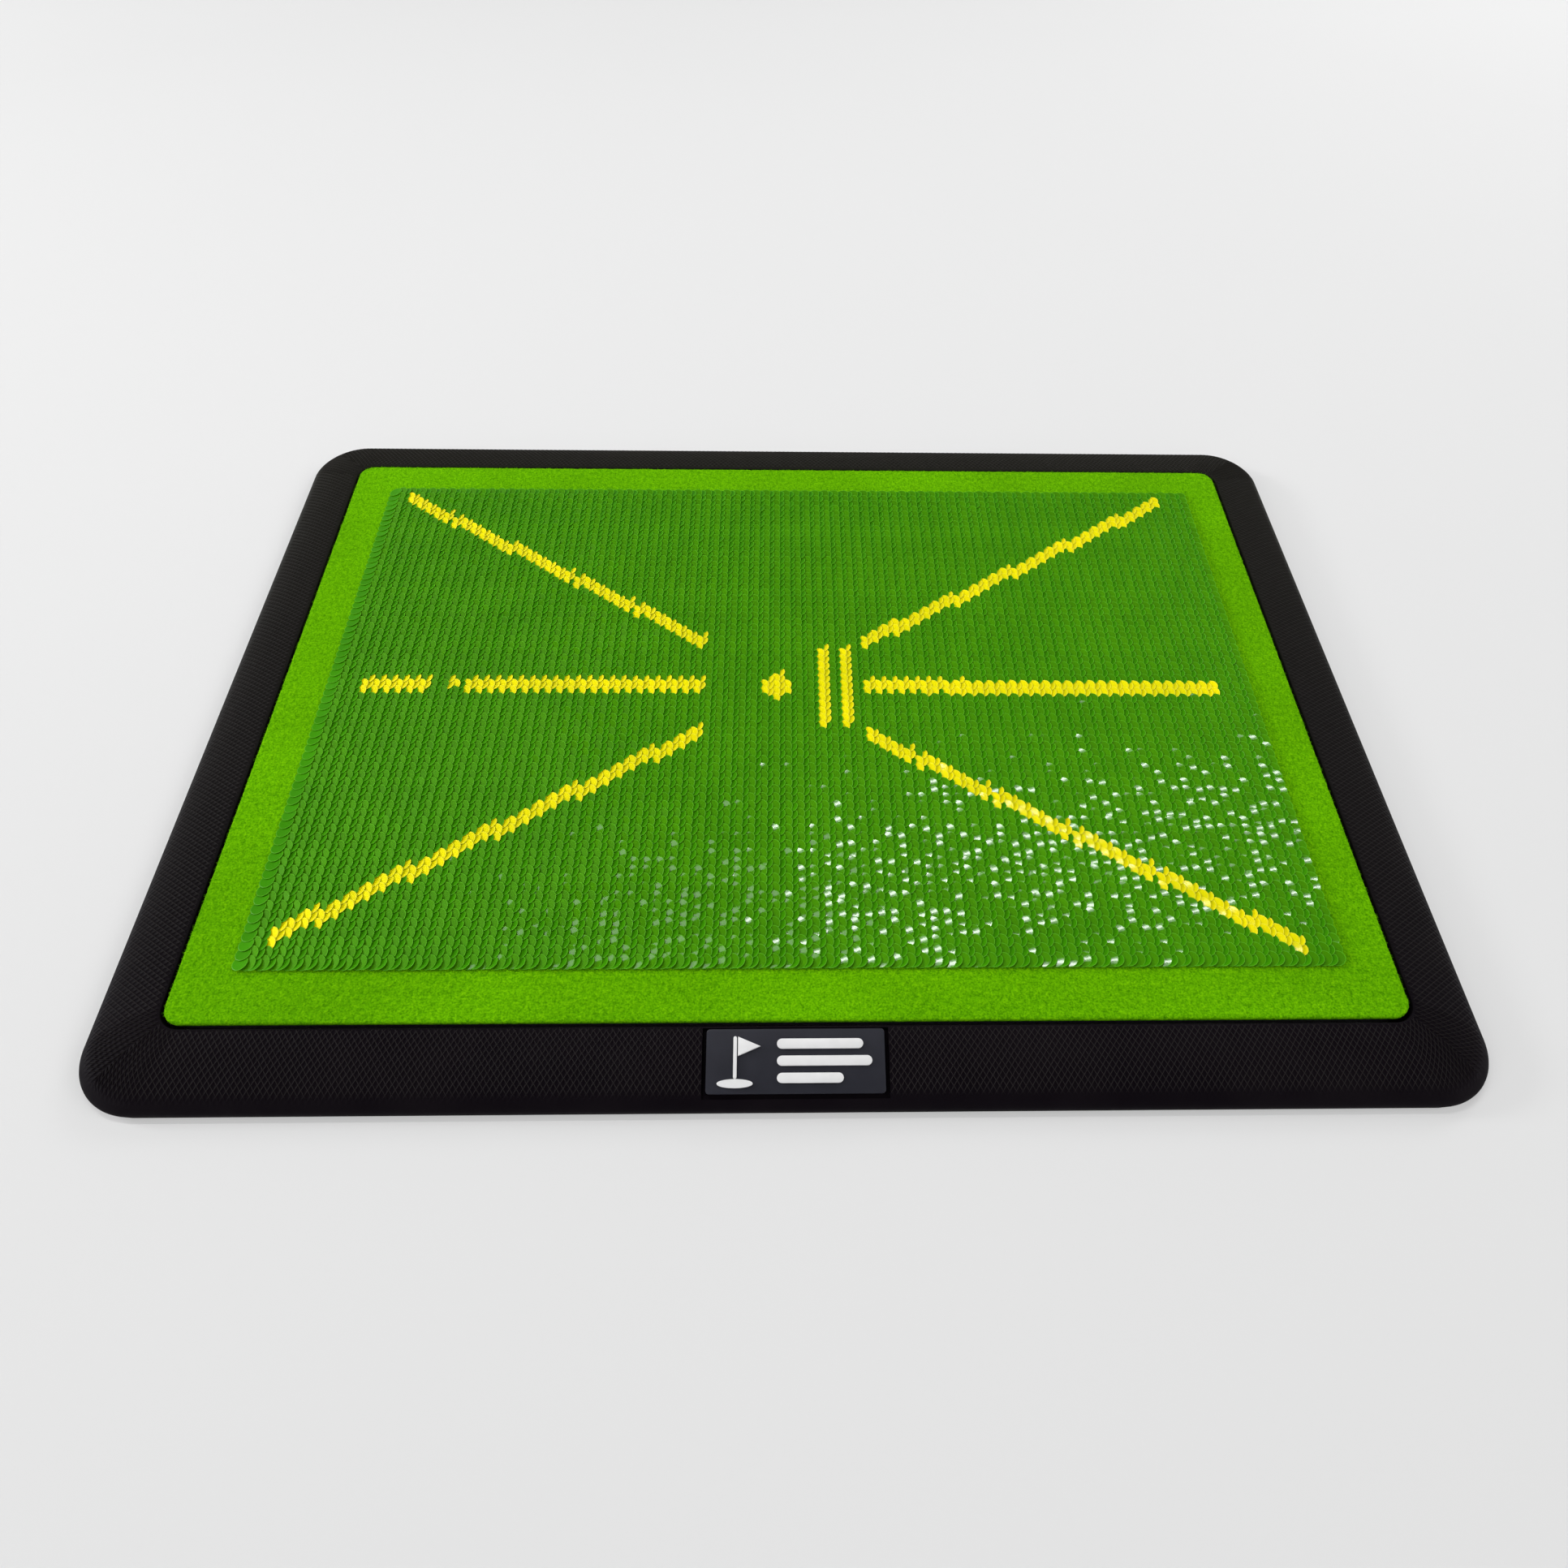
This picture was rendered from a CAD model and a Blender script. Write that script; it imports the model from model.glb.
"""Looks of the golf hitting mat: embossed rubber base, needle felt, flip sequins and badge."""
import math

import bmesh
import bpy
import numpy as np
from mathutils import Matrix, Vector, noise


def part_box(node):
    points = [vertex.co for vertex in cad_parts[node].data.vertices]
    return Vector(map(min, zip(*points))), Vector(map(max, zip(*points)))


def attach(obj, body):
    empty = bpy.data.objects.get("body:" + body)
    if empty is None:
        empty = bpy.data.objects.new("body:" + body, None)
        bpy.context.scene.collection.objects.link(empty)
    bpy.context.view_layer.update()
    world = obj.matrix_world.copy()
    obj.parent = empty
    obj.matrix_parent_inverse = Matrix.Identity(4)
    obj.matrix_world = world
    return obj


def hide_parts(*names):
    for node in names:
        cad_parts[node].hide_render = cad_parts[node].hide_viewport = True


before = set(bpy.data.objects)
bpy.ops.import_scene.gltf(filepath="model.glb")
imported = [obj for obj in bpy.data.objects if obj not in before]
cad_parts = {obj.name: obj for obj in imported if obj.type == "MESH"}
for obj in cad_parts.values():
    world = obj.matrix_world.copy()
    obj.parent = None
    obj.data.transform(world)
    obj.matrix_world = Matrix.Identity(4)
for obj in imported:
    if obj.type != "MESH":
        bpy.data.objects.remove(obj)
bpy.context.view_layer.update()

MM = 0.001

# Places read from the frame
BASE_LOW, BASE_HIGH = (np.array(corner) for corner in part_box("base_body"))
FELT_LOW, FELT_HIGH = (np.array(corner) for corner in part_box("felt_panel"))
BASE_HALF = BASE_HIGH[:2]
FELT_HALF = FELT_HIGH[:2]
FELT_TOP = FELT_HIGH[2]
RIM_HEIGHT = BASE_HIGH[2]
BODY_BOTTOM = BASE_LOW[2]

# Base, as the CAD model has it
FELT_CORNER = 7 * MM
FELT_GROOVE = 1.5 * MM
BASE_CORNER = 24 * MM
EDGE_HEIGHT = 3.0 * MM
RECESS_FLOOR = 5.0 * MM
BORDER_POWER = 1.7
RECESS_HALF = FELT_HALF + FELT_GROOVE
RECESS_CORNER = FELT_CORNER + FELT_GROOVE
BORDER_WIDTH = BASE_HALF - RECESS_HALF

# Diamond net on the border
NET_UNIT = 27.25 * MM
NET_ALONG = 2.28 * MM
NET_ACROSS = 3.2 * MM
NET_START = 0.9 * MM
NET_END = 25.2 * MM
NET_RELIEF = 0.34 * MM
PIT_SHARE = 0.66
NET_FADE = (0.78, 0.93)

# Distances, in metres, that count as none when the net is cut, found and welded
CUT_TOLERANCE = 1e-8
EDGE_TOLERANCE = 1e-7
RIM_TOLERANCE = 1e-6
WELD_DISTANCE = 2e-6

# Badge pocket on the front border
BADGE_LENGTH = 62 * MM
BADGE_DEPTH = 22 * MM
POCKET_MARGIN = 1.5 * MM
BADGE_RIM_DISTANCE = 1.0 * MM
POCKET_FLOOR = -1.3 * MM

# Sequins
SEWING_PITCH = 2.475 * MM
ROW_PITCH = 3.86 * MM
LINES_PER_STRIP = 4
LINE_COUNT = 162
ROW_COUNT = 70
DISC_RADIUS = 3.1 * MM
HOLE_TO_RIM = 0.8 * MM
DISC_SIDES = 14
DISC_DISH = 0.05 * MM
DISC_THICKNESS = 0.10 * MM
ROOT_LIFT = 0.40 * MM
FIELD_LENGTH = (LINE_COUNT - 1) * SEWING_PITCH + 2 * DISC_RADIUS
FIELD_DEPTH = 272.5 * MM
FIELD_CENTRE_Y = 0.75 * MM
FIRST_LINE = -FIELD_LENGTH / 2 + HOLE_TO_RIM
FIRST_ROW = -FIELD_DEPTH / 2 + FIELD_CENTRE_Y + DISC_RADIUS
# Discs on even and odd sewing lines: lean to the right, rise to the back, shift along X
EVEN_SEAT = (math.radians(12.5), math.radians(-5), 0.0)
ODD_SEAT = (math.radians(15), math.radians(7), 0.42 * MM)
SEAT_SCATTER = math.radians(0.6)
ROW_SCATTER = 0.06 * MM
SEQUIN_SEED = 5

# Camera
LENS = 25.44
SENSOR_WIDTH = 36
CAMERA_PLACE = (-0.0054, -0.3258, 0.3746)
CAMERA_TURN = (math.radians(37.37), math.radians(-1.18), math.radians(-0.91))
CAMERA_SHIFT = -0.0159
CLIP_START = 10 * MM

# Outward and along directions of the four sides, front first, then anticlockwise
SIDES = (((0, -1), (1, 0)), ((1, 0), (0, 1)), ((0, 1), (-1, 0)), ((-1, 0), (0, -1)))


# ---------------------------------------------------------------- materials

class Shader:
    """Short hand for building a node material round a Principled BSDF."""

    def __init__(self, name):
        self.material = bpy.data.materials.new(name)
        self.material.use_nodes = True
        self.tree = self.material.node_tree
        self.surface = self.tree.nodes["Principled BSDF"]

    def node(self, kind, **settings):
        made = self.tree.nodes.new(kind)
        for key, value in settings.items():
            setattr(made, key, value)
        return made

    def link(self, source, target):
        self.tree.links.new(source, target)

    def set(self, **values):
        for key, value in values.items():
            self.surface.inputs[key.replace("_", " ")].default_value = value

    def place(self):
        """Object coordinates, which are metres in the shared frame."""
        return self.node("ShaderNodeTexCoord").outputs["Object"]

    def noise(self, scale, detail=4.0, roughness=0.5, stretch=None):
        texture = self.node("ShaderNodeTexNoise")
        texture.inputs["Scale"].default_value = scale
        texture.inputs["Detail"].default_value = detail
        texture.inputs["Roughness"].default_value = roughness
        place = self.place()
        if stretch is not None:
            mapping = self.node("ShaderNodeMapping")
            mapping.inputs["Scale"].default_value = stretch
            self.link(place, mapping.inputs["Vector"])
            place = mapping.outputs["Vector"]
        self.link(place, texture.inputs["Vector"])
        return texture.outputs["Fac"]

    def ramp(self, factor, *stops):
        ramp = self.node("ShaderNodeValToRGB")
        elements = ramp.color_ramp.elements
        while len(elements) < len(stops):
            elements.new(0.5)
        for element, (position, colour) in zip(elements, stops):
            element.position = position
            element.color = (*colour, 1.0)
        self.link(factor, ramp.inputs["Fac"])
        return ramp.outputs["Color"]

    def mix(self, factor, first, second, blend="MIX"):
        mixed = self.node("ShaderNodeMix", data_type="RGBA", blend_type=blend)
        for socket, value in ((mixed.inputs[0], factor), (mixed.inputs[6], first), (mixed.inputs[7], second)):
            if isinstance(value, bpy.types.NodeSocket):
                self.link(value, socket)
            elif isinstance(value, tuple):
                socket.default_value = (*value, 1.0)
            else:
                socket.default_value = value
        return mixed.outputs[2]

    def to_range(self, value, low, high, start=0.0, end=1.0):
        """A value that runs from start to end, made to run from low to high."""
        mapped = self.node("ShaderNodeMapRange")
        self.link(value, mapped.inputs["Value"])
        limits = {"From Min": start, "From Max": end, "To Min": low, "To Max": high}
        for key, limit in limits.items():
            mapped.inputs[key].default_value = limit
        return mapped.outputs["Result"]

    def bump(self, height, distance, strength=1.0, before=None):
        bump = self.node("ShaderNodeBump")
        bump.inputs["Strength"].default_value = strength
        bump.inputs["Distance"].default_value = distance
        self.link(height, bump.inputs["Height"])
        if before is not None:
            self.link(before, bump.inputs["Normal"])
        return bump.outputs["Normal"]

    def colour(self, source):
        self.link(source, self.surface.inputs["Base Color"])

    def roughness(self, source):
        self.link(source, self.surface.inputs["Roughness"])

    def normal(self, source):
        self.link(source, self.surface.inputs["Normal"])


# The rubber's crests, its tone at the back of the mat and the places along Y between which
# that tone comes in
CREST_TONE = (0.023, 0.0200, 0.0195)
BACK_TONE = (0.0135, 0.0132, 0.0095)
BACK_FADE = (-0.16, 0.19)
RUBBER_ROUGHNESS = (0.55, 0.75)


def rubber_material(name, dark, light):
    """Moulded rubber: fine grain, faint cloudiness, rubbed crests, paler towards the back."""
    shader = Shader(name)
    split = shader.node("ShaderNodeSeparateXYZ")
    shader.link(shader.place(), split.inputs["Vector"])
    back = shader.to_range(split.outputs["Y"], 0.0, 1.0, *BACK_FADE)
    cloud = shader.ramp(shader.noise(38, 3), (0.35, dark), (0.70, light))
    cloud = shader.mix(back, cloud, BACK_TONE)
    crest = shader.node("ShaderNodeAttribute", attribute_name="ridge").outputs["Fac"]
    rubbed = shader.ramp(crest, (0.45, (0.0, 0.0, 0.0)), (1.0, (1.0, 1.0, 1.0)))
    shader.colour(shader.mix(rubbed, cloud, CREST_TONE))
    shader.roughness(shader.to_range(shader.noise(260, 3), *RUBBER_ROUGHNESS))
    shader.set(Specular_IOR_Level=0.06)
    grain = shader.bump(shader.noise(4200, 2), 0.05 * MM, 0.35)
    shader.normal(shader.bump(shader.noise(900, 2), 0.06 * MM, 0.25, grain))
    return shader.material


def felt_material(name, shade=1.0):
    """Needle felt: matted fibres in streaks that run every way, with darker pores."""
    shader = Shader(name)
    deep = (0.056 * shade, 0.25 * shade, 0.0004)
    middle = (0.125 * shade, 0.43 * shade, 0.0009)
    bright = (0.225 * shade, 0.61 * shade, 0.0020)
    fine = shader.noise(1300, 4, 0.6)
    tufts = shader.noise(620, 3, 0.6, (1.0, 0.7, 1.0))
    base = shader.ramp(fine, (0.36, deep), (0.50, middle), (0.66, bright))
    tint = shader.ramp(tufts, (0.36, deep), (0.51, middle), (0.66, bright))
    mottled = shader.mix(0.38, base, tint)
    cloud = shader.ramp(shader.noise(22, 2), (0.3, (0.90, 0.90, 0.90)), (0.7, (1.08, 1.06, 1.0)))
    shader.colour(shader.mix(1.0, mottled, cloud, "MULTIPLY"))
    shader.set(Roughness=0.95, Specular_IOR_Level=0.02)
    coarse = shader.bump(tufts, 0.9 * MM, 0.8)
    shader.normal(shader.bump(fine, 0.35 * MM, 0.8, coarse))
    return shader.material


# How far a disc's normal is tipped, and what keeps one strip's random numbers off the next's
FILM_WARP = 0.080
STRIP_SEED_STEP = 37.0


def warped_normal(shader, island):
    """The surface's normal, tipped in a way that every disc has to itself."""
    seed = shader.node("ShaderNodeMath", operation="MULTIPLY_ADD")
    shader.link(shader.node("ShaderNodeObjectInfo").outputs["Random"], seed.inputs[0])
    seed.inputs[1].default_value = STRIP_SEED_STEP
    shader.link(island, seed.inputs[2])
    chance = shader.node("ShaderNodeTexWhiteNoise", noise_dimensions="1D")
    shader.link(seed.outputs[0], chance.inputs["W"])
    centred = shader.node("ShaderNodeVectorMath", operation="SUBTRACT")
    shader.link(chance.outputs["Color"], centred.inputs[0])
    centred.inputs[1].default_value = (0.5, 0.5, 0.5)
    scaled = shader.node("ShaderNodeVectorMath", operation="SCALE")
    shader.link(centred.outputs[0], scaled.inputs[0])
    scaled.inputs["Scale"].default_value = FILM_WARP
    warped = shader.node("ShaderNodeVectorMath", operation="ADD")
    shader.link(shader.node("ShaderNodeNewGeometry").outputs["Normal"], warped.inputs[0])
    shader.link(scaled.outputs[0], warped.inputs[1])
    unit = shader.node("ShaderNodeVectorMath", operation="NORMALIZE")
    shader.link(warped.outputs[0], unit.inputs[0])
    return unit.outputs[0]


def sequin_material(name, colour, variation, metallic, roughness, coat, gloss):
    """Lustrous coloured film under a clear skin. Each disc has its own shade and its own warp."""
    shader = Shader(name)
    island = shader.node("ShaderNodeNewGeometry").outputs["Random Per Island"]
    low = tuple(channel * (1 - variation) for channel in colour)
    high = tuple(channel * (1 + variation) for channel in colour)
    shade = shader.ramp(island, (0.0, low), (1.0, high))
    patch = shader.ramp(shader.noise(45, 2), (0.35, (0.92, 0.94, 0.9)), (0.65, (1.06, 1.03, 1.0)))
    shader.colour(shader.mix(1.0, shade, patch, "MULTIPLY"))
    scuff = shader.noise(1500, 3, 0.6, (1.0, 0.12, 1.0))
    shader.roughness(shader.to_range(scuff, roughness * 0.8, roughness * 1.3))
    shader.set(Metallic=metallic, Specular_IOR_Level=0.02, Coat_Weight=coat, Coat_Roughness=gloss)
    warped = warped_normal(shader, island)
    shader.link(warped, shader.surface.inputs["Coat Normal"])
    shader.normal(shader.bump(shader.noise(420, 2), 0.05 * MM, 0.4, warped))
    return shader.material


def pvc_material(name, dark, light, roughness):
    """Soft PVC with a very fine pebble and rubbed patches."""
    shader = Shader(name)
    shader.colour(shader.ramp(shader.noise(120, 4), (0.3, dark), (0.7, light)))
    shader.roughness(shader.to_range(shader.noise(500, 3), roughness * 0.85, roughness * 1.15))
    shader.set(Specular_IOR_Level=0.4)
    shader.normal(shader.bump(shader.noise(3000, 2), 0.04 * MM, 0.3))
    return shader.material


def plain_inner_material(name, dark, light, scale, relief):
    """Foam or glue inside the mat: cellular or smeared."""
    shader = Shader(name)
    cells = shader.node("ShaderNodeTexVoronoi")
    cells.inputs["Scale"].default_value = scale
    shader.link(shader.place(), cells.inputs["Vector"])
    shader.colour(shader.ramp(cells.outputs["Distance"], (0.1, dark), (0.6, light)))
    shader.set(Roughness=0.8)
    shader.normal(shader.bump(cells.outputs["Distance"], relief, 0.6))
    return shader.material


def make_materials():
    return {
        "rubber": rubber_material("base_rubber", (0.0028, 0.0012, 0.0032), (0.0050, 0.0030, 0.0050)),
        "sole": rubber_material("sole_rubber", (0.0060, 0.0060, 0.0060), (0.0100, 0.0100, 0.0100)),
        "felt": felt_material("green_felt"),
        "fuzz": felt_material("felt_fibre", 1.15),
        "green": sequin_material("sequin_green", (0.046, 0.272, 0.0004), 0.08, 0.15, 0.45, 0.05, 0.20),
        "olive": sequin_material("sequin_green_olive", (0.059, 0.255, 0.0002), 0.08, 0.15, 0.45, 0.36, 0.04),
        "yellow": sequin_material("sequin_yellow", (0.89, 0.81, 0.0008), 0.04, 0.10, 0.45, 0.20, 0.08),
        "reverse": sequin_material("sequin_reverse", (0.42, 0.62, 0.10), 0.06, 0.35, 0.28, 1.0, 0.05),
        "edge": sequin_material("sequin_cut_edge", (0.095, 0.39, 0.012), 0.08, 0.0, 0.5, 0.1, 0.3),
        "edge_yellow": sequin_material("sequin_cut_edge_yellow", (0.95, 0.87, 0.04), 0.03, 0.0, 0.5,
                                       0.1, 0.3),
        "badge": pvc_material("badge_pvc", (0.0095, 0.0100, 0.0175), (0.0135, 0.0140, 0.0230), 0.50),
        "emblem": pvc_material("emblem_pvc", (0.80, 0.80, 0.80), (0.88, 0.88, 0.88), 0.48),
        "foam": plain_inner_material("pad_foam", (0.03, 0.03, 0.033), (0.06, 0.06, 0.066), 900, 0.2 * MM),
        "film": plain_inner_material("glue_film", (0.50, 0.47, 0.36), (0.66, 0.62, 0.48), 220, 0.05 * MM),
    }


# ---------------------------------------------------------------- mesh helpers

def add_piece(name, mesh, materials, body, replaced=(), smooth_angle=None):
    """Link a mesh as a piece that rides on a body and stands for the named nodes."""
    for material in materials:
        mesh.materials.append(material)
    if smooth_angle is not None:
        mesh.shade_smooth()
        mesh.set_sharp_from_angle(angle=math.radians(smooth_angle))
    piece = bpy.data.objects.new(name, mesh)
    bpy.context.scene.collection.objects.link(piece)
    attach(piece, body)
    if replaced:
        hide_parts(*replaced)
    return piece


def mesh_from_arrays(name, points, loops, sizes, material_index=None):
    """Fast mesh from numpy arrays: points, a flat list of corners and each face's corner count."""
    mesh = bpy.data.meshes.new(name)
    mesh.vertices.add(len(points))
    mesh.vertices.foreach_set("co", np.asarray(points, dtype=np.float32).ravel())
    mesh.loops.add(len(loops))
    mesh.loops.foreach_set("vertex_index", np.asarray(loops, dtype=np.int32))
    starts = np.concatenate(([0], np.cumsum(sizes)[:-1]))
    mesh.polygons.add(len(sizes))
    mesh.polygons.foreach_set("loop_start", starts.astype(np.int32))
    if material_index is not None:
        mesh.polygons.foreach_set("material_index", np.asarray(material_index, dtype=np.int32))
    mesh.update(calc_edges=True)
    mesh.validate()
    return mesh


def round_side(side, along, half, radius):
    """Plan points and outward directions at places along one side of a rounded rectangle.

    Places run from minus to plus the side's half length. Near the ends they follow the
    corner's arc as far as its middle, where the next side takes over. The half sizes and
    the radius are the same for every place, or there is one of each for every place.
    """
    outward, tangent = (np.array(v, dtype=float) for v in SIDES[side])
    half_along = half @ abs(tangent)
    half_out = half @ abs(outward)
    sign = np.sign(along)
    over = np.clip(np.abs(along) - (half_along - radius), 0, radius)
    angle = over / radius * math.pi / 4
    straight = np.minimum(np.abs(along), half_along - radius)
    place_along = sign * (straight + radius * np.sin(angle))
    place_out = half_out - radius + radius * np.cos(angle)
    plan = np.outer(place_along, tangent) + np.outer(place_out, outward)
    direction = np.outer(sign * np.sin(angle), tangent) + np.outer(np.cos(angle), outward)
    return plan, direction


def add_quads(shell, rings, closed=False, cap=False):
    """Join rings of places with quads, the last one filled where there is a cap."""
    rows = [[shell.verts.new(p) for p in ring] for ring in rings]
    count = len(rows[0])
    for upper, lower in zip(rows, rows[1:]):
        for i in range(count if closed else count - 1):
            following = (i + 1) % count
            shell.faces.new((upper[i], upper[following], lower[following], lower[i]))
    if cap:
        shell.faces.new(rows[-1])


# ---------------------------------------------------------------- base

def border_height(fraction):
    """Height of the border at a fraction of its width, 0 at the recess and 1 outside."""
    fall = np.maximum(0, 1 - np.clip(fraction, 0, 1) ** BORDER_POWER) ** (1 / BORDER_POWER)
    return EDGE_HEIGHT + (RIM_HEIGHT - EDGE_HEIGHT) * fall


def side_half_cells(side):
    """Half the side's length in half cells of the net, kept even so that the mitres match."""
    half_along = abs(np.array(SIDES[side][1])) @ RECESS_HALF
    return 2 * round(half_along / NET_ALONG)


def border_points(side, net_along, across, lift=0.0, height=None):
    """Places on the border, lifted from its slope or at a height of their own.

    net_along and across are places in the net laid flat, in metres.
    """
    tangent = abs(np.array(SIDES[side][1]))
    half_along = tangent @ RECESS_HALF
    growth = tangent @ BORDER_WIDTH
    net_half = side_half_cells(side) * NET_ALONG / 2
    beyond = np.maximum(0, np.abs(net_along) - net_half)
    inside = np.minimum(np.abs(net_along), net_half) * half_along / net_half
    along = np.sign(net_along) * (inside + beyond * growth / NET_UNIT)
    fraction = across / NET_UNIT
    half = RECESS_HALF + fraction[:, None] * BORDER_WIDTH
    radius = RECESS_CORNER + (BASE_CORNER - RECESS_CORNER) * fraction
    plan, direction = round_side(side, along, half, radius)
    if height is None:
        step = 0.01
        rise = border_height(fraction + step) - border_height(fraction - step)
        slope = rise / (2 * step * NET_UNIT)
        length = np.sqrt(1 + slope ** 2)
        plan = plan + direction * (lift * -slope / length)[:, None]
        z = border_height(fraction) + lift / length
    else:
        z = np.full(len(across), height)
    return np.column_stack((plan, z))


def flat_net(side):
    """The side's diamond net laid flat: z is 1 on the ridges and 0 on the pits' floors."""
    half_cells = side_half_cells(side)
    net_half = half_cells * NET_ALONG / 2
    step_along = NET_ALONG / 2
    step_across = NET_ACROSS / 2
    spare = 3
    reach_i = half_cells + int(NET_UNIT / step_along) + spare
    reach_j = int(NET_UNIT / step_across) + spare
    mesh = bmesh.new()
    ridge = {}

    def ridge_vertex(i, j):
        if (i, j) not in ridge:
            ridge[i, j] = mesh.verts.new((i * step_along, j * step_across, 1.0))
        return ridge[i, j]

    around = ((1, 0), (0, 1), (-1, 0), (0, -1))
    for j in range(-1, reach_j):
        for i in range(-reach_i, reach_i + 1):
            if (i + j) % 2:
                continue
            outer = [ridge_vertex(i + di, j + dj) for di, dj in around]
            inner = []
            for di, dj in around:
                place = ((i + di * PIT_SHARE) * step_along, (j + dj * PIT_SHARE) * step_across, 0.0)
                inner.append(mesh.verts.new(place))
            mesh.faces.new(inner)
            for k in range(4):
                following = (k + 1) % 4
                mesh.faces.new((outer[k], outer[following], inner[following], inner[k]))
    cuts = [((net_half, 0, 0), (1, -1, 0)), ((-net_half, 0, 0), (-1, -1, 0)),
            ((0, NET_START, 0), (0, -1, 0)), ((0, NET_END, 0), (0, 1, 0))]
    for place, normal in cuts:
        geometry = mesh.verts[:] + mesh.edges[:] + mesh.faces[:]
        bmesh.ops.bisect_plane(mesh, geom=geometry, dist=CUT_TOLERANCE, plane_co=place,
                               plane_no=normal, clear_outer=True)
    return mesh


def badge_seat():
    """Matrix from the badge's own places to its seat on the front border's slope."""
    width = BORDER_WIDTH[1]
    near = BADGE_RIM_DISTANCE
    far = BADGE_RIM_DISTANCE + BADGE_DEPTH
    near_height = float(border_height(near / width))
    far_height = float(border_height(far / width))
    tilt = math.atan2(near_height - far_height, far - near)
    centre = Vector((0, -(RECESS_HALF[1] + (near + far) / 2), (near_height + far_height) / 2))
    return Matrix.Translation(centre) @ Matrix.Rotation(tilt, 4, "X")


def cut_pocket_hole(mesh, seat):
    """Open the pocket's outline in the front side's flat net. Returns its limits."""
    half_length = BADGE_LENGTH / 2 + POCKET_MARGIN
    half_depth = BADGE_DEPTH / 2 + POCKET_MARGIN
    scale = side_half_cells(0) * NET_ALONG / 2 / RECESS_HALF[0]
    near = -(seat @ Vector((0, half_depth, 0))).y - RECESS_HALF[1]
    far = -(seat @ Vector((0, -half_depth, 0))).y - RECESS_HALF[1]
    limit_along = half_length * scale
    near = max(NET_START, near * NET_UNIT / BORDER_WIDTH[1])
    far = far * NET_UNIT / BORDER_WIDTH[1]
    reach = 2 * NET_ACROSS
    for place, normal in (((limit_along, 0, 0), (1, 0, 0)), ((-limit_along, 0, 0), (1, 0, 0)),
                          ((0, near, 0), (0, 1, 0)), ((0, far, 0), (0, 1, 0))):
        close = [f for f in mesh.faces if abs(f.calc_center_median().x) < limit_along + reach
                 and near - reach < f.calc_center_median().y < far + reach]
        edges = {e for f in close for e in f.edges}
        verts = {v for f in close for v in f.verts}
        bmesh.ops.bisect_plane(mesh, geom=list(verts) + list(edges) + close, dist=CUT_TOLERANCE,
                               plane_co=place, plane_no=normal)
    inside = [f for f in mesh.faces if abs(f.calc_center_median().x) < limit_along
              and near < f.calc_center_median().y < far]
    bmesh.ops.delete(mesh, geom=inside, context="FACES")
    return limit_along, near, far


def add_pocket(shell, flat_points, limits, seat):
    """Walls and floor of the badge pocket, from the hole's edge in the net."""
    limit_along, near, far = limits
    tiny = RIM_TOLERANCE
    x = flat_points[:, 0]
    y = flat_points[:, 1]
    on_side = (np.abs(np.abs(x) - limit_along) < tiny) & (y > near - tiny) & (y < far + tiny)
    on_end = ((np.abs(y - near) < tiny) | (np.abs(y - far) < tiny)) & (np.abs(x) < limit_along + tiny)
    rim = flat_points[on_side | on_end]
    middle = (near + far) / 2
    turn = np.arctan2((rim[:, 1] - middle) / (far - near), rim[:, 0] / limit_along / 2)
    rim = rim[np.argsort(turn)]
    top = border_points(0, rim[:, 0], rim[:, 1], rim[:, 2] * net_relief(rim[:, 1]))
    normal = seat.to_3x3() @ Vector((0, 0, 1))
    origin = np.array(seat.translation) + POCKET_FLOOR * np.array(normal)
    bottom = top.copy()
    bottom[:, 2] = origin[2] - (top[:, 1] - origin[1]) * normal.y / normal.z
    add_quads(shell, [top, bottom], closed=True, cap=True)


def net_relief(across):
    """Height of the ridges, fading out towards the outer edge."""
    low, high = NET_FADE
    fade = np.clip((high - across / NET_UNIT) / (high - low), 0, 1)
    return NET_RELIEF * fade * fade * (3 - 2 * fade)


def build_base(materials):
    """The rubber shell: four sides of embossed border that meet at the mitres, and the recess."""
    shell = bmesh.new()
    ridge = shell.verts.layers.float.new("ridge")
    seat = badge_seat()
    for side in range(4):
        net = flat_net(side)
        limits = cut_pocket_hole(net, seat) if side == 0 else None
        net.verts.index_update()
        flat = np.array([v.co[:] for v in net.verts])
        relief = flat[:, 2] * net_relief(flat[:, 1])
        made = [shell.verts.new(p) for p in border_points(side, flat[:, 0], flat[:, 1], relief)]
        for vertex, share in zip(made, relief / NET_RELIEF):
            vertex[ridge] = share
        for face in net.faces:
            shell.faces.new([made[v.index] for v in face.verts])
        if limits is not None:
            add_pocket(shell, flat, limits, seat)
        net_half = side_half_cells(side) * NET_ALONG / 2
        for start, rings in ((NET_START, inner_rings()), (NET_END, outer_rings())):
            edge = flat[np.abs(flat[:, 1] - start) < EDGE_TOLERANCE]
            edge = edge[np.argsort(edge[:, 0])]
            rows = [border_points(side, edge[:, 0], edge[:, 1], edge[:, 2] * net_relief(edge[:, 1]))]
            for across, height in rings:
                shrink = (net_half + across) / (net_half + start)
                net_across = np.full(len(edge), across)
                rows.append(border_points(side, edge[:, 0] * shrink, net_across, height=height))
            add_quads(shell, rows)
        net.free()
    bmesh.ops.remove_doubles(shell, verts=shell.verts, dist=WELD_DISTANCE)
    open_edges = [e for e in shell.edges if e.is_boundary]
    bmesh.ops.holes_fill(shell, edges=open_edges, sides=0)
    bmesh.ops.recalc_face_normals(shell, faces=shell.faces)
    mesh = bpy.data.meshes.new("base_shell")
    shell.to_mesh(mesh)
    shell.free()
    add_piece("base_shell", mesh, [materials["rubber"]], "mat", ["base_body"],
              smooth_angle=50)


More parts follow.
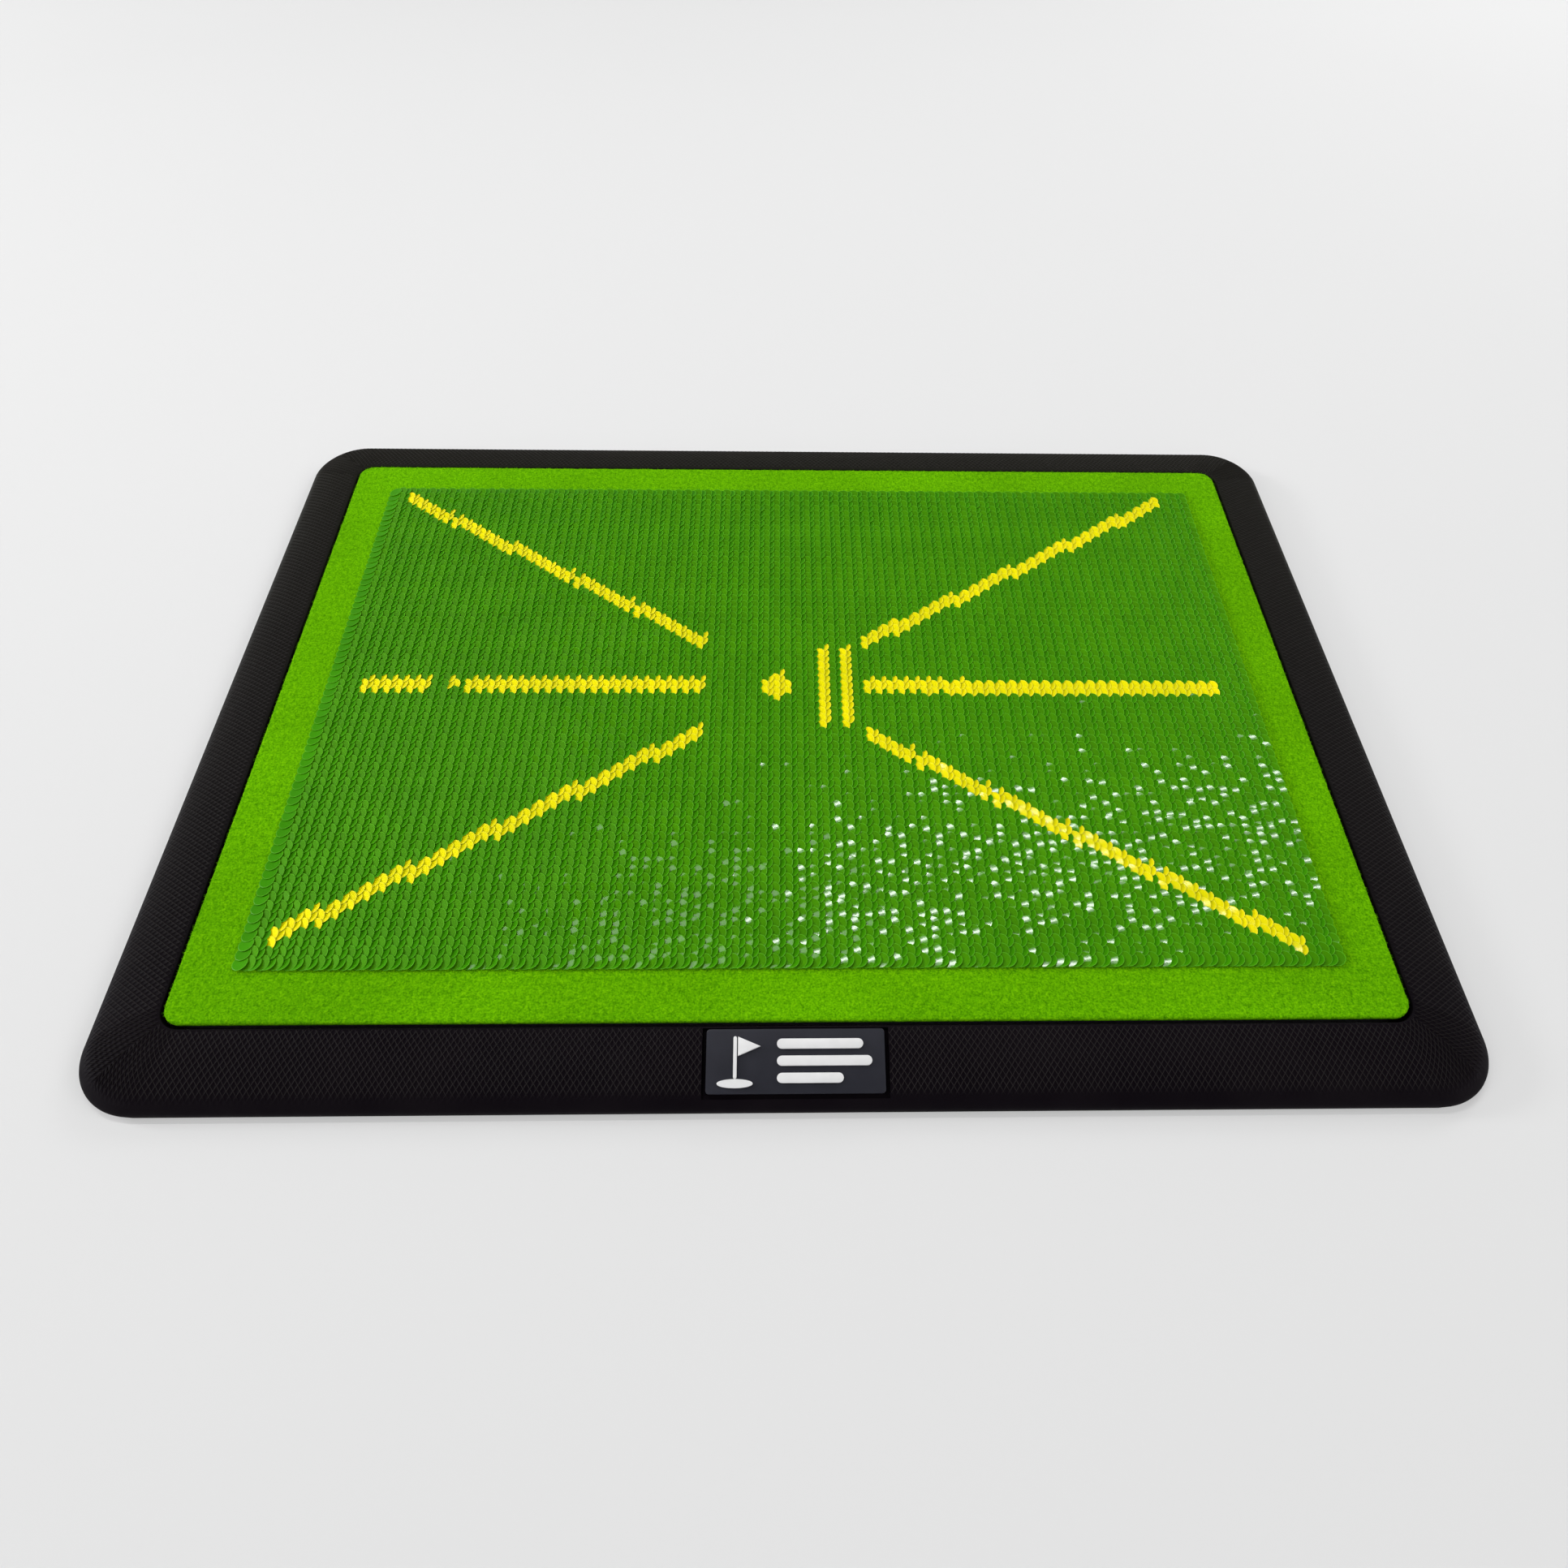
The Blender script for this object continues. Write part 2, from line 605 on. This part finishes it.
def inner_rings():
    """From the net's inner edge over the rim and down into the recess, as (across, height)."""
    return [(0.55 * MM, RIM_HEIGHT - 0.02 * MM), (0.25 * MM, RIM_HEIGHT - 0.12 * MM),
            (0.07 * MM, RIM_HEIGHT - 0.30 * MM), (0.0, RIM_HEIGHT - 0.60 * MM), (0.0, RECESS_FLOOR)]


def outer_rings():
    """From the net's outer edge round the smooth band to the underside, as (across, height)."""
    band = (0.945, 0.962, 0.976, 0.987, 0.995, 1.0)
    rings = [(fraction * NET_UNIT, float(border_height(fraction))) for fraction in band]
    rings += [(NET_UNIT, BODY_BOTTOM + 0.35 * MM), (NET_UNIT - 0.12 * MM, BODY_BOTTOM + 0.1 * MM),
              (NET_UNIT - 0.35 * MM, BODY_BOTTOM)]
    return rings


# ---------------------------------------------------------------- felt

FELT_STEP = 0.8 * MM
FELT_BAND = 23.0 * MM
FELT_BUMP = 0.32 * MM
FELT_MIN_RADIUS = 0.5 * MM
# The cut edge is rough by these shares of X and Y, finely enough for EDGE_GRAIN lumps a metre,
# and less so on the rings that lie on top
EDGE_ROUGHNESS = (0.0006, 0.0009)
EDGE_GRAIN = 900
EDGE_RINGS = 6
TOP_ROUGHNESS_SHARE = 0.35


def felt_noise(x, y):
    """Lumps of matted fibre, from about -1 to 1."""
    place = Vector((x, y, 0.0))
    return 0.6 * noise.noise(place * 420) + 0.4 * noise.noise(place * 1100 + Vector((7.3, 2.1, 0)))


def felt_rings():
    """(inset, height) from the underside's edge up over the top edge and inwards."""
    bottom = FELT_LOW[2]
    rings = [(0.15 * MM, bottom), (0.0, bottom + 0.6 * MM), (0.0, FELT_TOP - 0.75 * MM),
             (0.18 * MM, FELT_TOP - 0.32 * MM), (0.5 * MM, FELT_TOP - 0.08 * MM)]
    inset = 1.0 * MM
    while inset < FELT_BAND:
        rings.append((inset, FELT_TOP))
        inset += FELT_STEP
    return rings


def build_felt(materials):
    """The felt as one closed cloth, lumpy on top and rough along its cut edge."""
    rings = felt_rings()
    counts = [round(2 * (abs(np.array(SIDES[side][1])) @ FELT_HALF) / FELT_STEP) for side in range(4)]
    rows = []
    for inset, height in rings:
        parts = []
        for side in range(4):
            half = FELT_HALF - inset
            share = np.linspace(-1, 1, counts[side], endpoint=False)
            along = share * (abs(np.array(SIDES[side][1])) @ half)
            plan, _ = round_side(side, along, half, max(FELT_CORNER - inset, FELT_MIN_RADIUS))
            parts.append(np.column_stack((plan, np.full(len(along), height))))
        rows.append(np.vstack(parts))
    count = len(rows[0])
    points = np.vstack(rows)
    for index in range(len(points)):
        x, y, z = points[index]
        ring = index // count
        if ring == 0:
            continue
        rough = noise.noise(Vector((x * EDGE_GRAIN, y * EDGE_GRAIN, z * EDGE_GRAIN)))
        edge_share = 1.0 if ring < EDGE_RINGS else TOP_ROUGHNESS_SHARE
        reach = math.hypot(x / FELT_HALF[0], y / FELT_HALF[1])
        points[index, 2] = z + FELT_BUMP * felt_noise(x, y)
        points[index, 0] = x * (1 + EDGE_ROUGHNESS[0] * edge_share * rough / reach)
        points[index, 1] = y * (1 + EDGE_ROUGHNESS[1] * edge_share * rough / reach)
    loops = []
    sizes = []
    for ring in range(len(rings) - 1):
        low = ring * count
        for i in range(count):
            following = (i + 1) % count
            loops.extend((low + i, low + following, low + count + following, low + count + i))
        sizes.extend([4] * count)
    loops.extend(reversed(range(count)))
    sizes.append(count)
    last = (len(rings) - 1) * count
    loops.extend(range(last, last + count))
    sizes.append(count)
    mesh = mesh_from_arrays("felt_cloth", points, loops, sizes)
    felt = add_piece("felt_cloth", mesh, [materials["felt"]], "mat", ["felt_panel"],
                     smooth_angle=80)


# Loose fibres: a share of them in a narrow band along the edge, the rest over the open border
FIBRE_SEED = 11
FIBRE_COUNT = 46000
FIBRE_WIDTH = 0.07 * MM
FIBRE_LENGTH = (0.7, 1.8)  # in millimetres, as the lift is
FIBRE_LIFT = (0.10, 0.40)
FIBRE_SINK = 0.05 * MM
FIBRE_BEND = 1.6
FIBRE_TAPER = 0.6
EDGE_FIBRE_SHARE = 0.10
EDGE_FIBRE_BAND = 0.8 * MM
FIBRE_BAND = 20.5 * MM
FIBRE_CROWDING = 0.9
# Share of its length that a fibre keeps at the very edge, and how far in it has all of it
EDGE_LENGTH_SHARE = 0.35
FULL_LENGTH_INSET = 1.3 * MM
# Along a fibre: share of its length, share of its lift
FIBRE_STATIONS = ((0.0, 0.0), (0.5, 1.0), (1.0, 0.55))


def build_fuzz(materials):
    """Loose fibres that lie on the felt's open border, shorter and lower near its edge."""
    random = np.random.RandomState(FIBRE_SEED)
    inset = np.where(random.rand(FIBRE_COUNT) < EDGE_FIBRE_SHARE,
                     random.rand(FIBRE_COUNT) * EDGE_FIBRE_BAND,
                     random.rand(FIBRE_COUNT) ** FIBRE_CROWDING * FIBRE_BAND)
    side_share = np.cumsum([abs(np.array(SIDES[side][1])) @ FELT_HALF for side in range(4)])
    side_share /= side_share[-1]
    which = np.searchsorted(side_share, random.rand(FIBRE_COUNT))
    share = random.rand(FIBRE_COUNT) * 2 - 1
    plan = np.zeros((FIBRE_COUNT, 2))
    for side in range(4):
        chosen = which == side
        half = FELT_HALF[None, :] - inset[chosen][:, None]
        along = share[chosen] * (half @ abs(np.array(SIDES[side][1])))
        radius = np.maximum(FELT_CORNER - inset[chosen], FELT_MIN_RADIUS)
        plan[chosen], _ = round_side(side, along, half, radius)
    heading = random.rand(FIBRE_COUNT) * 2 * math.pi
    length = np.interp(random.rand(FIBRE_COUNT), (0, 1), FIBRE_LENGTH) * MM
    length *= np.clip(EDGE_LENGTH_SHARE + inset / FULL_LENGTH_INSET * (1 - EDGE_LENGTH_SHARE), 0, 1)
    lift = np.interp(random.rand(FIBRE_COUNT), (0, 1), FIBRE_LIFT) * MM
    bend = (random.rand(FIBRE_COUNT) - 0.5) * FIBRE_BEND
    forward = np.column_stack((np.cos(heading), np.sin(heading)))
    second = np.column_stack((np.cos(heading + bend), np.sin(heading + bend)))
    across = np.column_stack((-np.sin(heading), np.cos(heading))) * FIBRE_WIDTH / 2
    base_height = np.array([FELT_TOP + FELT_BUMP * felt_noise(x, y) for x, y in plan])
    edge_round = 0.5 * MM
    drop = np.clip(edge_round - inset, 0, edge_round)
    points = np.zeros((FIBRE_COUNT, 2 * len(FIBRE_STATIONS), 3))
    for index, (reach, rise) in enumerate(FIBRE_STATIONS):
        step = forward * min(reach, 0.5) + second * max(reach - 0.5, 0)
        centre = plan + step * length[:, None]
        z = base_height - drop + lift * rise - FIBRE_SINK
        taper = 1.0 - FIBRE_TAPER * reach
        points[:, 2 * index, :2] = centre - across * taper
        points[:, 2 * index + 1, :2] = centre + across * taper
        points[:, 2 * index, 2] = z
        points[:, 2 * index + 1, 2] = z
    faces = np.array([[0, 1, 3, 2], [2, 3, 5, 4]])
    loops = (np.arange(FIBRE_COUNT)[:, None, None] * points.shape[1] + faces[None]).ravel()
    mesh = mesh_from_arrays("felt_fuzz", points.reshape(-1, 3), loops, np.full(FIBRE_COUNT * len(faces), 4))
    add_piece("felt_fuzz", mesh, [materials["fuzz"]], "mat")


# ---------------------------------------------------------------- sequins

# Guide marks, in millimetres from the felt's centre: lines from one place to another, about two
# discs thick in every column, two gate lines that each fill a pair of columns, and a dot
MARK_LINES = (((-190.4, 128.3), (-39.0, 28.6)), ((30.4, 27.4), (187.0, 128.6)),
              ((-191.4, -122.7), (-38.1, -23.1)), ((30.9, -24.5), (189.3, -127.9)),
              ((-187.1, 3.6), (-157.4, 3.6)), ((-150.2, 3.8), (-145.2, 3.8)), ((-140.6, 3.3), (-39.0, 2.4)),
              ((31.0, 1.7), (187.0, 1.1)))
GATE_LINES = (14.1, 23.9)
GATE_Y = (-20.8, 25.6)
DOT_CENTRE = (-6.4, 2.1)
DOT_HALF = (6.3, 8.0)
# From a disc's centre to the middle of what its neighbours leave in sight: to the right, and
# towards the back on odd lines or the front on even ones
VISIBLE_SHIFT = (1.5, 1.17)

# Material slots of a strip, in this order
SEQUIN_SLOTS = ("green", "yellow", "reverse", "edge", "edge_yellow", "olive")
GREEN, YELLOW, REVERSE, EDGE, EDGE_YELLOW, OLIVE = range(len(SEQUIN_SLOTS))
# Kinds of face on a disc
FACE_TOP, FACE_EDGE, FACE_BACK = range(3)


def is_marked(x, y, pair_x):
    """Whether discs seen at x, y, in a pair of columns at pair_x, are yellow. In millimetres."""
    marked = np.zeros(len(x), dtype=bool)
    row = ROW_PITCH / MM
    for start, end in MARK_LINES:
        line_y = start[1] + (x - start[0]) * (end[1] - start[1]) / (end[0] - start[0])
        marked |= (x > start[0]) & (x < end[0]) & (np.abs(y - line_y) < row)
    for gate in GATE_LINES:
        marked |= (np.abs(pair_x - gate) < SEWING_PITCH / MM) & (y > GATE_Y[0]) & (y < GATE_Y[1])
    dot = ((x - DOT_CENTRE[0]) / DOT_HALF[0]) ** 2 + ((y - DOT_CENTRE[1]) / DOT_HALF[1]) ** 2
    return marked | (dot < 1)


def disc_template():
    """One dished disc with a lowered cut edge, sewn at its -X side: its points, faces and kinds."""
    turns = np.arange(DISC_SIDES) * 2 * math.pi / DISC_SIDES
    circle = np.column_stack((np.cos(turns), np.sin(turns)))
    rings = ((0.5, -0.75 * DISC_DISH), (0.92, 0.0), (1.0, -0.5 * DISC_THICKNESS), (1.0, -DISC_THICKNESS))
    points = [np.array([[0, 0, -DISC_DISH]])]
    for share, height in rings:
        ring = np.column_stack((circle * share * DISC_RADIUS, np.full(DISC_SIDES, height)))
        points.append(ring)
    points.append(np.array([[0, 0, -DISC_DISH - DISC_THICKNESS]]))
    faces = []
    kinds = []
    for i in range(DISC_SIDES):
        following = (i + 1) % DISC_SIDES
        faces.append((0, 1 + i, 1 + following))
        kinds.append(FACE_TOP)
        for ring in range(3):
            low = 1 + ring * DISC_SIDES
            high = low + DISC_SIDES
            faces.append((low + i, high + i, high + following, low + following))
            kinds.append(FACE_TOP if ring == 0 else FACE_EDGE)
        last = 1 + 3 * DISC_SIDES
        faces.append((last + i, last + DISC_SIDES, last + following))
        kinds.append(FACE_BACK)
    return np.vstack(points), faces, np.array(kinds)


def build_strip(index, materials, template, random):
    """The discs on a few neighbouring sewing lines, which flip as one."""
    points, faces, kinds = template
    first = index * LINES_PER_STRIP
    lines = np.arange(first, min(LINE_COUNT, first + LINES_PER_STRIP))
    line = np.repeat(lines, ROW_COUNT)
    odd_line = line % 2 == 1
    count = len(line)
    even_lean, even_rise, even_shift = EVEN_SEAT
    odd_lean, odd_rise, odd_shift = ODD_SEAT
    lean = np.where(odd_line, odd_lean, even_lean) + random.normal(0, SEAT_SCATTER, count)
    rise = np.where(odd_line, odd_rise, even_rise) + random.normal(0, SEAT_SCATTER, count)
    centre_y = np.tile(FIRST_ROW + np.arange(ROW_COUNT) * ROW_PITCH, len(lines))
    centre_y += random.normal(0, ROW_SCATTER, count)
    root_x = FIRST_LINE + line * SEWING_PITCH + np.where(odd_line, odd_shift, even_shift)
    # An odd line and the even one to its right make a pair
    pair_x = FIRST_LINE + ((line + 1) // 2 * 2 - 0.5) * SEWING_PITCH + DISC_RADIUS
    axis_x = np.column_stack((np.cos(lean), np.zeros(count), np.sin(lean)))
    axis_y = np.column_stack((np.zeros(count), np.cos(rise), np.sin(rise)))
    axis_z = np.cross(axis_x, axis_y)
    axis_z /= np.linalg.norm(axis_z, axis=1)[:, None]
    axis_y = np.cross(axis_z, axis_x)
    reach = DISC_RADIUS - HOLE_TO_RIM
    root = np.column_stack((root_x, centre_y, np.full(count, FELT_TOP + ROOT_LIFT)))
    centre = root + axis_x * reach
    placed = (centre[:, None, :] + points[None, :, 0, None] * axis_x[:, None, :]
              + points[None, :, 1, None] * axis_y[:, None, :] + points[None, :, 2, None] * axis_z[:, None, :])
    visible_x = centre[:, 0] / MM + VISIBLE_SHIFT[0]
    visible_y = centre[:, 1] / MM + VISIBLE_SHIFT[1] * np.where(odd_line, 1, -1)
    yellow = is_marked(visible_x, visible_y, pair_x / MM)
    sizes = np.array([len(f) for f in faces])
    corners = np.concatenate([np.array(f) for f in faces])
    loops = (np.arange(count)[:, None] * len(points) + corners[None]).ravel()
    top = np.where(yellow, YELLOW, np.where(odd_line, OLIVE, GREEN))
    edge = np.where(yellow, EDGE_YELLOW, EDGE)
    slots = np.stack((top, edge, np.full(count, REVERSE)), axis=1)[:, kinds].ravel()
    name = f"sequins_{index + 1:02d}"
    mesh = mesh_from_arrays(name, placed.reshape(-1, 3), loops, np.tile(sizes, count), slots)
    add_piece(name, mesh, [materials[key] for key in SEQUIN_SLOTS], f"strip_{index + 1:02d}",
              [f"sequin_strip_{index + 1:02d}"], smooth_angle=6)


def build_sequins(materials):
    template = disc_template()
    random = np.random.RandomState(SEQUIN_SEED)
    for index in range(math.ceil(LINE_COUNT / LINES_PER_STRIP)):
        build_strip(index, materials, template, random)


# ---------------------------------------------------------------- badge

PLATE_BOTTOM = -0.4 * MM
PLATE_TOP = 1.1 * MM
PLATE_BEVEL = 0.25 * MM
PLATE_CORNER = 1.2 * MM
EMBLEM_BOTTOM = 1.0 * MM
EMBLEM_TOP = 2.0 * MM
EMBLEM_BEVEL = 0.15 * MM
STICK_X = -21.0 * MM
STICK_MIDDLE = 1.2 * MM
STICK_LENGTH = 14.4 * MM
STICK_WIDTH = 1.2 * MM
BAR_SPACING = 5.8 * MM
BAR_HEIGHT = 3.4 * MM


def bevelled_prism(name, outline, bottom, top, seat, bevel, material, node):
    """A flat shape raised from the badge's seat, with rounded upper edges."""
    solid = bmesh.new()
    low = [solid.verts.new((x, y, bottom)) for x, y in outline]
    high = [solid.verts.new((x, y, top)) for x, y in outline]
    solid.faces.new(list(reversed(low)))
    cap = solid.faces.new(high)
    count = len(outline)
    for i in range(count):
        following = (i + 1) % count
        solid.faces.new((low[i], low[following], high[following], high[i]))
    bmesh.ops.bevel(solid, geom=list(cap.edges), offset=bevel, segments=3, profile=0.5, affect="EDGES")
    bmesh.ops.recalc_face_normals(solid, faces=solid.faces)
    bmesh.ops.transform(solid, matrix=seat, verts=solid.verts)
    mesh = bpy.data.meshes.new(name)
    solid.to_mesh(mesh)
    solid.free()
    add_piece(name, mesh, [material], "mat", [node], smooth_angle=30)


def rounded_outline(length, depth, radius, steps=6):
    points = []
    for sign_x, sign_y, quarter in ((1, 1, 0), (-1, 1, 1), (-1, -1, 2), (1, -1, 3)):
        for step in range(steps + 1):
            angle = (quarter + step / steps) * math.pi / 2
            points.append((sign_x * (length / 2 - radius) + radius * math.cos(angle),
                           sign_y * (depth / 2 - radius) + radius * math.sin(angle)))
    return points


def pill_outline(centre_x, centre_y, length, height, steps=12):
    radius = height / 2
    points = []
    for side, start in ((1, -90), (-1, 90)):
        for step in range(steps + 1):
            angle = math.radians(start + step * 180 / steps)
            x = centre_x + side * (length / 2 - radius) + radius * math.cos(angle)
            points.append((x, centre_y + radius * math.sin(angle)))
    return points


def ellipse_outline(centre_x, centre_y, half_x, half_y, steps=40):
    turn = 2 * math.pi / steps
    return [(centre_x + half_x * math.cos(i * turn), centre_y + half_y * math.sin(i * turn))
            for i in range(steps)]


def build_badge(materials):
    """The badge's plate with a flagstick, its pennant and hole, and three bars."""
    seat = badge_seat()
    bevelled_prism("badge_patch", rounded_outline(BADGE_LENGTH, BADGE_DEPTH, PLATE_CORNER), PLATE_BOTTOM,
                   PLATE_TOP, seat, PLATE_BEVEL, materials["badge"], "badge_plate")
    lying = pill_outline(0, 0, STICK_LENGTH, STICK_WIDTH)
    stick = [(STICK_X - y, STICK_MIDDLE + x) for x, y in lying]
    pennant = [(-20.0 * MM, 8.3 * MM), (-20.0 * MM, 1.7 * MM), (-12.2 * MM, 5.0 * MM)]
    hole = ellipse_outline(STICK_X, -7.6 * MM, 6.2 * MM, 1.5 * MM)
    back_bar = pill_outline(8.5 * MM, BAR_SPACING, 30 * MM, BAR_HEIGHT)
    middle_bar = pill_outline(10.0 * MM, 0.0, 33 * MM, BAR_HEIGHT)
    front_bar = pill_outline(5.0 * MM, -BAR_SPACING, 23 * MM, BAR_HEIGHT)
    shapes = {"flagstick": stick, "pennant": pennant, "hole": hole,
              "bar_back": back_bar, "bar_middle": middle_bar, "bar_front": front_bar}
    for name, outline in shapes.items():
        bevelled_prism(f"inlay_{name}", outline, EMBLEM_BOTTOM, EMBLEM_TOP, seat, EMBLEM_BEVEL,
                       materials["emblem"], f"emblem_{name}")


# ---------------------------------------------------------------- stage

FLOOR_HALF = 12.0
FLOOR_DROP = 0.2 * MM
FLOOR_TONE = (0.46, 0.46, 0.46)
# The floor glows more far from the lamps, so that it stays pale up to the horizon. The distances
# between which the glow grows are in metres.
FLOOR_GLOW = 0.34
FAR_GLOW = 0.66
GLOW_DISTANCES = (0.9, 4.5)


def build_floor():
    mesh = bpy.data.meshes.new("studio_floor")
    corners = [(x * FLOOR_HALF, y * FLOOR_HALF, 0) for x, y in ((-1, -1), (1, -1), (1, 1), (-1, 1))]
    mesh.from_pydata(corners, [], [(0, 1, 2, 3)])
    floor = bpy.data.objects.new("studio_floor", mesh)
    floor.location.z = -FLOOR_DROP
    bpy.context.scene.collection.objects.link(floor)
    shader = Shader("studio_floor")
    shader.set(Roughness=0.9, Specular_IOR_Level=0.0)
    lighter = tuple(channel * 1.01 for channel in FLOOR_TONE)
    shader.colour(shader.ramp(shader.noise(3, 2), (0.3, FLOOR_TONE), (0.7, lighter)))
    shader.surface.inputs["Emission Color"].default_value = (1, 1, 1, 1)
    away = shader.node("ShaderNodeVectorMath", operation="LENGTH")
    shader.link(shader.place(), away.inputs[0])
    glow = shader.to_range(away.outputs["Value"], FLOOR_GLOW, FAR_GLOW, *GLOW_DISTANCES)
    shader.link(glow, shader.surface.inputs["Emission Strength"])
    mesh.materials.append(shader.material)


def add_softbox(name, place, size, radiance, target=None):
    """A rectangular light that faces straight down, or towards a target."""
    light = bpy.data.lights.new(name, "AREA")
    light.shape = "RECTANGLE"
    light.size, light.size_y = size
    light.energy = radiance * math.pi * size[0] * size[1]
    lamp = bpy.data.objects.new(name, light)
    lamp.location = place
    if target is not None:
        aim = Vector(target) - Vector(place)
        lamp.rotation_euler = aim.to_track_quat("-Z", "Y").to_euler()
    bpy.context.scene.collection.objects.link(lamp)


# The sky's glow by height, from the walls up to the ceiling
WORLD_GLOW = ((0.10, 0.90), (0.60, 0.10))


def build_world():
    """A dim ceiling over bright walls, so that glossy parts have something to mirror."""
    world = bpy.data.worlds.new("studio")
    world.use_nodes = True
    tree = world.node_tree
    background = tree.nodes["Background"]
    place = tree.nodes.new("ShaderNodeTexCoord")
    split = tree.nodes.new("ShaderNodeSeparateXYZ")
    ramp = tree.nodes.new("ShaderNodeValToRGB")
    tree.links.new(place.outputs["Generated"], split.inputs["Vector"])
    tree.links.new(split.outputs["Z"], ramp.inputs["Fac"])
    tree.links.new(ramp.outputs["Color"], background.inputs["Color"])
    for element, (height, glow) in zip(ramp.color_ramp.elements, WORLD_GLOW):
        element.position = height
        element.color = (glow, glow, glow, 1)
    bpy.context.scene.world = world


ORIGIN = (0, 0, 0)


def add_lights():
    """Thin key lights that the sequins mirror, each in a softer halo, and panels that fill."""
    add_softbox("key_right", (-0.05, 0.385, 1.495), (0.46, 0.024), 46)
    add_softbox("key_right_halo", (-0.05, 0.39, 1.5), (0.48, 0.075), 10)
    add_softbox("key_middle", (-0.53, 0.405, 1.495), (0.50, 0.036), 46)
    add_softbox("key_middle_halo", (-0.53, 0.41, 1.5), (0.50, 0.090), 11)
    add_softbox("key_left", (-1.10, 0.40, 1.5), (0.62, 0.080), 8)
    add_softbox("panel_left", (-1.75, 0.80, 1.5), (0.90, 1.20), 0.25)
    add_softbox("low_key", (-2.40, 0.50, 0.88), (0.55, 0.40), 44, ORIGIN)
    add_softbox("back_right", (0.95, 1.15, 0.90), (0.60, 0.40), 9, ORIGIN)
    add_softbox("fill_left", (-1.9, -0.9, 1.5), (1.4, 1.0), 2.9, ORIGIN)
    add_softbox("fill_right", (1.9, -0.5, 1.5), (1.4, 1.0), 4.2, ORIGIN)


def add_camera():
    optics = bpy.data.cameras.new("camera")
    optics.sensor_width = SENSOR_WIDTH
    optics.lens = LENS
    optics.shift_x = CAMERA_SHIFT
    optics.clip_start = CLIP_START
    camera = bpy.data.objects.new("camera", optics)
    camera.location = CAMERA_PLACE
    camera.rotation_euler = CAMERA_TURN
    bpy.context.scene.collection.objects.link(camera)
    bpy.context.scene.camera = camera
    bpy.context.scene.view_settings.view_transform = "Standard"


def dress_cad_nodes(materials):
    """Materials of the CAD nodes that stay as they are."""
    kept = {"base_sole": "sole", "impact_pad": "foam", "pad_adhesive": "film",
            "felt_adhesive": "film", "badge_adhesive": "film"}
    for node, key in kept.items():
        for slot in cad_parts[node].material_slots:
            slot.material = materials[key]


def main():
    build_floor()
    build_world()
    add_lights()
    add_camera()
    materials = make_materials()
    dress_cad_nodes(materials)
    build_base(materials)
    build_felt(materials)
    build_fuzz(materials)
    build_sequins(materials)
    build_badge(materials)


main()
